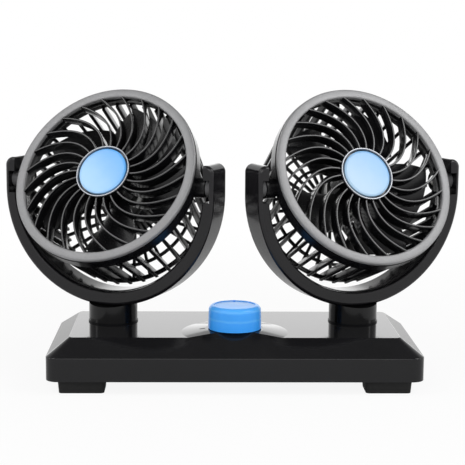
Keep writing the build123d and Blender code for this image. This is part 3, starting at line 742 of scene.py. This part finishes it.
@cache
def screws_tree() -> Tree:
    """Pan-head screws with a cross recess, one at each point, heads along local +Z.

    Returns:
        The geometry tree.
    """
    w, given, out = new_group("cross_recess_screws", SCREW_INPUTS, {"Geometry": "Geometry"},
                              "GeometryNodeTree")
    crown_share, slot_length, slot_depth, most_turn = 0.78, 1.15, 1.2, 1.5
    radius, rise, length = given["Head Radius"], given["Head Height"], given["Shank Length"]
    crown = w.get("GeometryNodeMeshCone", {
        "Vertices": 28, "Side Segments": 1, "Fill Segments": 1, "Radius Bottom": radius,
        "Radius Top": w.math("MULTIPLY", radius, crown_share), "Depth": rise})
    cross = w.add("GeometryNodeMeshBoolean", {}, operation="UNION", solver="EXACT")
    size = w.triple(X=w.math("MULTIPLY", radius, slot_length), Y=given["Slot Width"],
                    Z=w.math("MULTIPLY", rise, slot_depth))
    bar = w.get("GeometryNodeMeshCube", {"Size": size})
    for turn in (0.0, math.pi / 2):
        moved = {"Geometry": bar, "Translation": w.triple(Z=rise), "Rotation": (0.0, 0.0, turn)}
        w.feed(cross, {"Mesh 2": w.get("GeometryNodeTransform", moved)})
    head = w.get("GeometryNodeMeshBoolean", {"Mesh 1": crown, "Mesh 2": cross.outputs[0]},
                 operation="DIFFERENCE", solver="EXACT")
    pin = {"Vertices": 16, "Radius": given["Shank Radius"], "Depth": length}
    shank = w.get("GeometryNodeMeshCylinder", pin, fill_type="NGON")
    drop = w.triple(Z=w.math("MULTIPLY", length, -0.5))
    low = w.get("GeometryNodeTransform", {"Geometry": shank, "Translation": drop})
    screw = w.add("GeometryNodeJoinGeometry")
    for shape in (head, low):
        w.feed(screw, {0: shape})
    turns = {"Min": (0.0, 0.0, 0.0), "Max": (0.0, 0.0, most_turn), "Seed": 3}
    spin = w.get("FunctionNodeRandomValue", turns, data_type="FLOAT_VECTOR")
    way = w.get("ShaderNodeVectorMath", {0: spin, 1: w.triple(X=given["Tip"])}, operation="ADD")
    end_tree(w, given, out, {"Points": given["Geometry"], "Instance": screw.outputs[0], "Rotation": way})
    return w.tree


def joint(side: Side, name: str) -> dict:
    """Give one of the joints of a head or its post."""
    return next(row for row in frame["joints"] if row["name"] == f"{side.value}_{name}")


def pivot_place(side: Side, rear: Vector | None = None) -> Matrix:
    """Give the frame of a head's pivots, across, up and to the rear.

    Args:
        side: The head.
        rear: Its way to the rear, or none for the level one.

    Returns:
        The frame as a place.
    """
    tilt = joint(side, "tilt")
    across = -Vector(tilt["axis"]).normalized()
    if rear is None:
        rear = across.cross(Vector((0, 0, 1)))
    turn = Matrix((across, rear.cross(across), rear)).transposed().to_4x4()
    return Matrix.Translation(Vector(tilt["pos_m"])) @ turn @ Matrix.Scale(MM, 4)


def screws(name: str, place: Matrix, spots: tuple[Spot, ...], sizes: dict[str, float]) -> Piece:
    """Set screws with cross recesses, one at each spot, with the tree's inputs as sizes."""
    return grow(screws_tree(), name, {**sizes, "Material": SCREW_STEEL.material()}, place, spots)


@dataclass
class Head:
    """One tilting fan head: bezel, grille, hub, band and cage."""

    side: Side
    bezel_outer: float = 58.3
    bezel_inner: float = 52.8
    bezel_front: float = 14.6
    bezel_back: float = 11.4
    bezel_round: float = 1.0
    bezel_segments: int = 192
    rim_outer: float = 56.2
    rim_inner: float = 52.9
    rim_back: float = 7.4
    rim_round: float = 0.4
    rib_count: int = 24
    rib_width: float = 1.3
    rib_blank: float = 5.0
    rib_sweep: float = 32.0
    rib_middle_share: float = 0.37
    rib_hub_front: float = 15.4
    rib_rim_front: float = 14.2
    rib_back: float = 7.4
    rib_bulge: float = 0.3
    edge_round: float = 0.3
    hub_radius: float = 17.2
    hub_front: float = 15.9
    hub_back: float = 7.6
    hub_recess: float = 16.5
    hub_floor: float = 13.5
    ring_inner: float = 15.9
    ring_front: float = 16.6
    ring_slope: Point = (0.45, 0.9)
    ring_round: float = 0.25
    disc_radius: float = 15.15
    disc_edge: float = 16.5
    disc_crown: float = 0.5
    disc_steps: int = 12
    disc_shoulder: tuple[Point, ...] = ((0.1, 0.15), (0.0, 0.5))
    disc_crown_gap: float = 0.35
    sheen_reach: float = 0.7
    collar_inner: float = 54.0
    band_back: float = 2.5
    slat_count: int = 36
    slat_width: float = 2.1
    slat_depth: float = 4.8
    slat_round: float = 0.35
    slat_tooth: float = 0.02
    cage_front: float = 57.2
    cage_rear: float = 51.0
    cage_back: float = 39.8
    cage_segments: int = 144
    rim_ring_depth: float = 2.6
    ring_recess: float = 0.8
    ring_wall: float = 2.2
    bar_count: int = 28
    bar_width: float = 1.9
    bar_depth: float = 1.8
    ring_radii: tuple[float, ...] = (39.5, 28.0)
    ring_width: float = 1.8
    cup_outer: float = 16.3
    cup_inner: float = 13.9
    cup_front: float = 20.0
    cup_floor: float = 37.3
    cup_round: float = 0.5
    cup_segments: int = 96
    boss_relief: float = 6.5
    motor_screw_x: float = 8.0
    place: Matrix = field(init=False)
    body: str = field(init=False)

    def __post_init__(self) -> None:
        """Find the head's own frame from its joints."""
        self.place = pivot_place(self.side, -Vector(joint(self.side, "fan_spin")["axis"]).normalized())
        self.body = self.node("head")

    def node(self, name: str) -> str:
        """Give the full name of one of this head's nodes."""
        return f"{self.side.value}_{name}"

    def turned(self, name: str, points: list[Point], radius: float, segments: int = 128) -> Piece:
        """Turn an outline with rounded corners about the head's axis."""
        return lathe(name, rounded(points, radius), self.place, segments)

    def grille(self) -> None:
        """Make the spiral ribs with their rim and hub cup."""
        start = (self.hub_radius + self.hub_recess) / 2
        end = self.rim_inner + self.rib_width / 2
        spots = []
        for radius, share in ((start, 0), ((start + end) / 2, self.rib_middle_share), (end, 1)):
            angle = math.radians(-self.rib_sweep * share)
            spots.append(Vector((radius * math.cos(angle), radius * math.sin(angle), 0)))
        bend = spots[1] * 2 - (spots[0] + spots[2]) / 2
        ribs = grow(ribs_tree(), self.node("grille_ribs"), {
            "Count": self.rib_count, "Width": self.rib_width, "Depth": self.rib_blank,
            "Round": self.edge_round, "Start": tuple(spots[0]), "Bend": tuple(bend), "End": tuple(spots[2]),
            "Hub Radius": self.hub_radius - self.rib_width, "Rim Radius": self.rim_inner + self.rib_width,
            "Hub Front": self.rib_hub_front, "Rim Front": self.rib_rim_front, "Hub Back": self.rib_back,
            "Rim Back": self.rib_back, "Bulge": self.rib_bulge, "Material": RIB_BLACK.material()}, self.place)
        rim = self.turned("rim", strap(self.rim_inner, self.rim_outer, -self.rim_back, -self.bezel_back),
                          self.rim_round)
        floor, front, back = -self.hub_floor, -self.hub_front, -self.hub_back
        cup = self.turned("cup", [(0, back), (0, floor), (self.hub_recess, floor), (self.hub_recess, front),
                                  (self.hub_radius, front), (self.hub_radius, back)], self.edge_round)
        whole = joined(self.node("spiral_grille"), [ribs, rim, cup])
        settle(whole, self.body, RIB_BLACK, "matt_black", self.node("front_grille"))

    def hub(self) -> None:
        """Make the silver ring and the blue disc of the hub, the disc with painted sheen."""
        floor, front, top = -self.hub_floor, -self.hub_front, -self.ring_front
        across, down = self.ring_slope
        ring = self.turned(self.node("hub_trim_ring"), [
            (self.ring_inner, floor), (self.ring_inner, top + down), (self.ring_inner + across, top),
            (self.hub_radius, top), (self.hub_radius, front), (self.hub_recess, front),
            (self.hub_recess, floor)], self.ring_round)
        settle(ring, self.body, RING_METAL, "bright_metal", self.node("hub_ring"))
        outline = []
        for step in range(self.disc_steps + 1):
            t = step / self.disc_steps
            rise = self.disc_crown * (1 - t * t)
            outline.append(((self.disc_radius - self.disc_crown_gap) * t, -self.disc_edge - rise))
        outline += [(self.disc_radius - inset, -self.disc_edge + drop) for inset, drop in self.disc_shoulder]
        outline += [(self.disc_radius, floor), (0, floor)]
        disc = lathe(self.node("hub_face"), outline, self.place)
        # Painted sheen: the disc's blue runs from the near colour at one corner to the lighter far colour at
        # the opposite one.
        near, far = DISC_SHEEN_BLUES[self.side]
        reach = self.disc_radius * self.sheen_reach
        start, end = (tuple(self.place @ Vector((x, -x, -self.disc_edge))) for x in (reach, -reach))
        painted_sheen = SheenPaintedPlastic(self.node("disc_blue_painted_sheen"), near, (0.2, 0.28), 0.5, dust=0.0, relief=0.002,
                             far_colour=far, start=start, end=end)
        settle(disc, self.body, painted_sheen, "blue_disc", self.node("hub_disc"))

    def bezel(self) -> None:
        """Make the silver ring round the grille."""
        outline = strap(self.bezel_inner, self.bezel_outer, -self.bezel_back, -self.bezel_front)
        ring = self.turned(self.node("silver_bezel"), outline, self.bezel_round, self.bezel_segments)
        settle(ring, self.body, BEZEL_SILVER, "silver_grey", self.node("bezel_ring"))

    def cage_radius(self, height: float) -> float:
        """Give the cage's outer radius at a place along the axis."""
        share = (height + self.band_back) / (self.cage_back + self.band_back)
        return self.cage_front + share * (self.cage_rear - self.cage_front)

    def bars(self, name: str, start: Point, end: Point, values: dict[str, float]) -> Piece:
        """Set straight bars of the cage round its axis.

        Args:
            name: Name of the set.
            start: Radius and height of a bar's first end.
            end: Radius and height of its other end.
            values: Count and sizes, by the tree's inputs.

        Returns:
            The bars.
        """
        line = {title: (radius, 0.0, height) for title, (radius, height) in (
            ("Start", start), ("Bend", ((start[0] + end[0]) / 2, (start[1] + end[1]) / 2)), ("End", end))}
        return grow(bars_tree(), name, {**values, **line, "Material": CAGE_BLACK.material()}, self.place)

    def slats(self, name: str, count: int, skip: int, front: float) -> Piece:
        """Make slats along the cage.

        Args:
            name: Name of the set.
            count: Places round the axis.
            skip: Every so many places stay empty, or none for zero.
            front: Where the slats start along the axis.

        Returns:
            The slats.
        """
        ends = [(self.cage_radius(height) - self.slat_depth / 2, height)
                for height in (front, self.cage_back + self.slat_tooth)]
        return self.bars(name, *ends, {"Count": count, "Leave Out Every": skip, "Width": self.slat_width,
                                       "Depth": self.slat_depth, "Round": self.slat_round})

    def cage(self) -> None:
        """Make the slatted cage with its rear bars, rings and motor cup."""
        back, rear = self.cage_back, self.cage_rear - self.ring_recess
        inner, middle = rear - self.ring_wall, back - self.bar_depth / 2
        start = back - self.rim_ring_depth
        pieces = [
            self.slats("long_slats", self.slat_count, self.slat_count // 2, -self.band_back),
            self.slats("short_slats", 2, 0, self.boss_relief),
            self.bars("rear_bars", (self.cup_outer - self.bar_width, middle),
                      (rear - self.ring_wall / 2, middle),
                      {"Count": self.bar_count, "Width": self.bar_width, "Depth": self.bar_depth,
                       "Round": self.edge_round}),
            self.turned("rear_rim", [(inner, start), (self.cage_radius(start) - self.ring_recess, start),
                                     (rear, back), (inner, back)], self.rim_round, self.cage_segments)]
        for radius in self.ring_radii:
            outline = strap(radius - self.ring_width, radius, back - self.bar_depth, back)
            pieces.append(self.turned("rear_ring", outline, self.edge_round, self.bar_count * 4))
        collar = strap(self.collar_inner, self.rim_outer, -self.rim_back, -self.band_back)
        pieces.append(self.turned("collar", collar, self.edge_round, self.cage_segments))
        cup = [(self.cup_inner, self.cup_front), (self.cup_outer, self.cup_front), (self.cup_outer, back),
               (0, back), (0, self.cup_floor), (self.cup_inner, self.cup_floor)]
        pieces.append(self.turned("cup", cup, self.cup_round, self.cup_segments))
        whole = joined(self.node("slatted_cage"), pieces)
        settle(whole, self.body, CAGE_BLACK, "matt_black", self.node("rear_cage"))

    def build(self) -> None:
        """Make and dress the whole head."""
        self.bezel()
        self.grille()
        self.hub()
        self.cage()
        spots = tuple((x, 0.0, self.cage_back) for x in (-self.motor_screw_x, self.motor_screw_x))
        cup_screws = screws(self.node("cup_screws"), self.place, spots, {
            "Head Radius": 2.4, "Head Height": 1.4, "Shank Radius": 1.2, "Shank Length": 5.4})
        settle(cup_screws, self.body, SCREW_STEEL, "steel", self.node("motor_screws"))
        for name, finish in (("housing_band", BAND_BLACK), ("pivot_pins", SCREW_STEEL),
                             ("motor", MOTOR_CAN), ("motor_shaft", SCREW_STEEL), ("impeller", BLADE_BLACK)):
            dress(self.node(name), finish)


@dataclass
class Yoke:
    """One turning post with its yoke, whose seam has its place along the depth from the pivots."""

    side: Side
    inner_radius: float = 62.9
    inner_drop: float = 3.4
    seam: float = 4.5
    rebate_width: float = 3.0
    rebate_stand: float = 0.08
    rebate_bite: float = 0.4
    rebate_steps: int = 96
    rebate_arc: Point = (190.0, 350.0)

    def seam_shade(self) -> None:
        """Lay a dark strip along the seam of the two shells, inside the yoke: painted shade in the recess of
        the seam.
        """
        outline = strap(self.inner_radius - self.rebate_stand, self.inner_radius + self.rebate_bite,
                        self.seam, self.seam + self.rebate_width)
        place = pivot_place(self.side) @ Matrix.Translation((0, -self.inner_drop, 0))
        strip = lathe(f"{self.side.value}_seam_shade_strip", outline, place, self.rebate_steps, self.rebate_arc)
        settle(strip, f"{self.side.value}_yoke", SEAM_SHADE_BLACK, "matt_black")

    def build(self) -> None:
        """Dress the post, the yoke and what holds them."""
        self.seam_shade()
        for name, finish in (("swivel_post", POST_BLACK), ("yoke_front_cover", SATIN_BLACK),
                             ("yoke_rear_shell", SATIN_BLACK), ("swivel_washer", WASHER_BLACK),
                             ("retaining_plate", SCREW_STEEL), ("retaining_screws", SCREW_STEEL),
                             ("pivot_bushes", DARK_ACETAL)):
            dress(f"{self.side.value}_{name}", finish)


@dataclass
class Base:
    """The long base with its knob, switch and feet."""

    knob_forward: float = 21.0
    screw_x: float = 60.0
    screw_y: float = 32.5
    screw_seat: float = 9.2
    tick_from: float = 17.8
    tick_to: float = 21.2
    tick_width: float = 0.7
    tick_stand: float = 0.12
    tick_bite: float = 0.3
    tick_soft: float = 0.06
    mound_top: float = 33.3
    mound_fall: float = 0.15
    mound_flat: float = 17.5

    def tick(self, place: Matrix) -> None:
        """Make the raised tick on the dial mound beside the knob.

        Args:
            place: Frame about the base's middle.
        """
        bm = bmesh.new()
        corners = []
        for x in (-self.tick_to, -self.tick_from):
            for y in (-self.tick_width / 2, self.tick_width / 2):
                for rise in (-self.tick_bite, self.tick_stand):
                    height = self.mound_top - self.mound_fall * (-x - self.mound_flat) + rise
                    corners.append(bm.verts.new((x, y - self.knob_forward, height)))
        bmesh.ops.convex_hull(bm, input=corners)
        bmesh.ops.bevel(bm, geom=bm.edges[:], offset=self.tick_soft, segments=2, affect="EDGES")
        settle(shaped("dial_tick", bm, place), "base", MARK_BLACK, "matt_black")

    def knob_blue_painted_highlights(self) -> SheenPaintedPlastic:
        """Give the knob's blue, with painted highlight bands at its two edges and its top and a faint painted
        emission.

        Returns:
            The knob's finish.
        """
        low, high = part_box("speed_knob")
        x, y, _ = (low + high) / 2
        # The stops paint highlight bands along the knob's height, and the emission paints light into its blue.
        return SheenPaintedPlastic("knob_blue_painted_highlights", (0.03, 0.32, 0.92), (0.26, 0.34), 0.32, dust=0.0, relief=0.002,
                             far_colour=(0.14, 0.5, 1.0), painted_glow=0.1, start=(x, y, low.z), end=(x, y, high.z),
                             drift=((0.0, 0.0), (0.37, 0.12), (0.45, 0.55), (0.54, 0.15), (0.76, 0.2),
                                    (0.86, 0.7), (0.93, 0.4), (1.0, 0.5)))

    def build(self, middle: Vector) -> None:
        """Make and dress the base.

        Args:
            middle: Middle of the base on plan, in metres.
        """
        place = Matrix.Translation(middle) @ Matrix.Scale(MM, 4)
        self.tick(place)
        spots = tuple((x, y, self.screw_seat) for x in (-self.screw_x, self.screw_x)
                      for y in (-self.screw_y, self.screw_y))
        cover_screws = screws("cover_screws", place, spots, {
            "Head Radius": 2.6, "Head Height": 1.45, "Shank Radius": 1.35, "Shank Length": 8.8,
            "Tip": math.pi})
        settle(cover_screws, "base", SCREW_STEEL, "steel", "bottom_cover_screws")
        for name, finish in (("base_housing", GLOSS_BLACK), ("bottom_cover", SATIN_BLACK),
                             ("rotary_switch", SWITCH_GREY), ("switch_nut", SCREW_STEEL),
                             ("switch_shaft", SCREW_STEEL), ("speed_knob", self.knob_blue_painted_highlights()),
                             ("cord_gland", DARK_ACETAL)):
            dress(name, finish)
        for foot in ("front_left", "front_right", "rear_left", "rear_right"):
            dress(f"foot_{foot}", FOOT_RUBBER)


@dataclass(frozen=True)
class Lamp:
    """One soft lamp, with its place, aim and size in metres and its power in watts."""

    name: str
    at: Spot
    towards: Spot
    size: Point
    power: float

    def hang(self) -> None:
        """Hang the lamp, out of the camera's sight."""
        data = bpy.data.lights.new(self.name, "AREA")
        data.shape, data.energy = "RECTANGLE", self.power
        data.size, data.size_y = self.size
        lamp = shown(self.name, data)
        way = Vector(self.towards) - Vector(self.at)
        lamp.matrix_world = Matrix.Translation(self.at) @ way.to_track_quat("-Z", "Y").to_matrix().to_4x4()
        lamp.visible_camera = False


LAMPS = (Lamp("right_softbox", (0.66, -0.27, 0.76), (0.03, 0, 0.1), (0.42, 0.42), 3.0),
         Lamp("left_softbox", (-0.62, -0.27, 0.82), (-0.03, 0, 0.1), (0.42, 0.42), 1.9),
         Lamp("front_softbox", (-0.1, -1.1, 0.75), (0, 0, 0.1), (0.9, 0.5), 4.2),
         Lamp("back_panel", (0, 2.2, 0.42), (0, 0, 0.1), (4.0, 0.7), 9.0),
         Lamp("left_strip", (-1.0, -0.1, 0.3), (0, 0, 0.12), (0.16, 0.7), 0.9),
         Lamp("right_strip", (1.0, -0.1, 0.3), (0, 0, 0.12), (0.16, 0.7), 0.9))


@dataclass
class Studio:
    """Camera, lamps, world and floor.

    The eye's place is in millimetres from the middle of the base, the rest in metres.
    """

    eye: Spot = (-23.2019, -782.7014, 207.3237)
    yaw: float = 0.0281024
    pitch: float = 0.1506613
    roll: float = 0.0082043
    lens: float = 100.0
    sensor: float = 36.0
    surround: float = 0.4
    ceiling_from: Point = (0.35, 0.85)
    ceiling_tones: Point = (1.0, 0.22)
    floor_reach: float = 12.0
    floor_tones: Point = (0.86, 0.9)
    floor_patches: float = 3.0
    white_from: Point = (0.12, 0.6)
    white_shares: Point = (0.9, 1.0)
    mirror_from: Point = (0.25, 0.6)
    mirror_shares: Point = (0.3, 0.72)

    def camera(self, middle: Vector) -> None:
        """Set the camera where the photograph was taken.

        Args:
            middle: Middle of the base on plan, in metres.
        """
        ahead = Vector((math.sin(self.yaw) * math.cos(self.pitch),
                        math.cos(self.yaw) * math.cos(self.pitch), -math.sin(self.pitch)))
        right = Vector((math.cos(self.yaw), -math.sin(self.yaw), 0))
        up = right.cross(ahead)
        cosine, sine = math.cos(self.roll), math.sin(self.roll)
        columns = (right * cosine + up * sine, up * cosine - right * sine, -ahead)
        data = bpy.data.cameras.new("camera")
        data.lens, data.sensor_width = self.lens, self.sensor
        camera = shown("camera", data)
        camera.matrix_world = (Matrix.Translation(Vector(self.eye) * MM + middle)
                               @ Matrix(columns).transposed().to_4x4())
        bpy.context.scene.camera = camera

    def world(self) -> None:
        """Make an even pale surround that the camera sees as white."""
        world = bpy.data.worlds.new("pale_surround")
        bpy.context.scene.world = world
        w = Wiring.of(world)
        path = w.add("ShaderNodeLightPath").outputs
        rise = w.parts(w.add("ShaderNodeTexCoord").outputs["Generated"])[2]
        ceiling = w.span(rise, self.ceiling_from, self.ceiling_tones, "SMOOTHSTEP")
        mirrored = w.math("MULTIPLY", path["Is Glossy Ray"], ceiling)
        seen = w.math("MAXIMUM", w.math("MAXIMUM", path["Is Camera Ray"], mirrored),
                      path["Is Transmission Ray"])
        plain = w.math("MULTIPLY", w.math("SUBTRACT", 1.0, path["Is Glossy Ray"]), self.surround)
        w.feed(w.find("BACKGROUND"), {"Color": (1, 1, 1, 1), "Strength": w.math("MAXIMUM", seen, plain)})

    def floor(self) -> None:
        """Lay a plain pale floor that keeps the fan's shadow."""
        mesh = bpy.data.meshes.new("floor")
        reach = self.floor_reach
        mesh.from_pydata([(-reach, -reach, 0), (reach, -reach, 0), (reach, reach, 0), (-reach, reach, 0)],
                         [], [(0, 1, 2, 3)])
        floor = shown("floor", mesh)
        material = bpy.data.materials.new("pale_floor")
        w = Wiring.of(material)
        where = w.add("ShaderNodeTexCoord").outputs["Object"]
        shade = w.span(w.noise(where, self.floor_patches), (0.0, 1.0), self.floor_tones)
        shader = w.feed(w.find("BSDF_PRINCIPLED"), {"Base Color": shade, "Roughness": 0.9,
                                                    "Specular IOR Level": 0.0})
        white = w.get("ShaderNodeEmission", {"Color": (1, 1, 1, 1), "Strength": 1.0})
        path = w.add("ShaderNodeLightPath").outputs
        away = w.length(where)
        fade = w.span(away, self.white_from, self.white_shares, "SMOOTHSTEP")
        mirrored = w.span(away, self.mirror_from, self.mirror_shares, "SMOOTHSTEP")
        seen = w.math("MAXIMUM", path["Is Camera Ray"], w.math("MULTIPLY", path["Is Glossy Ray"], mirrored))
        both = w.get("ShaderNodeMixShader", {0: w.math("MULTIPLY", seen, fade), 1: shader.outputs[0],
                                             2: white})
        w.feed(w.find("OUTPUT_MATERIAL"), {0: both})
        mesh.materials.append(material)

    def build(self, middle: Vector) -> None:
        """Set up the studio.

        Args:
            middle: Middle of the base on plan, in metres.
        """
        self.camera(middle)
        self.world()
        self.floor()
        for lamp in LAMPS:
            lamp.hang()
        bpy.context.scene.view_settings.view_transform = "Standard"


def main() -> None:
    """Build the studio and the fan."""
    logging.basicConfig(level=logging.INFO, format="%(message)s")
    low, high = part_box("base_housing")
    middle = Vector(((low.x + high.x) / 2, (low.y + high.y) / 2, 0))
    Studio().build(middle)
    Base().build(middle)
    for side in Side:
        Yoke(side).build()
        Head(side).build()


if __name__ == "__main__":
    main()
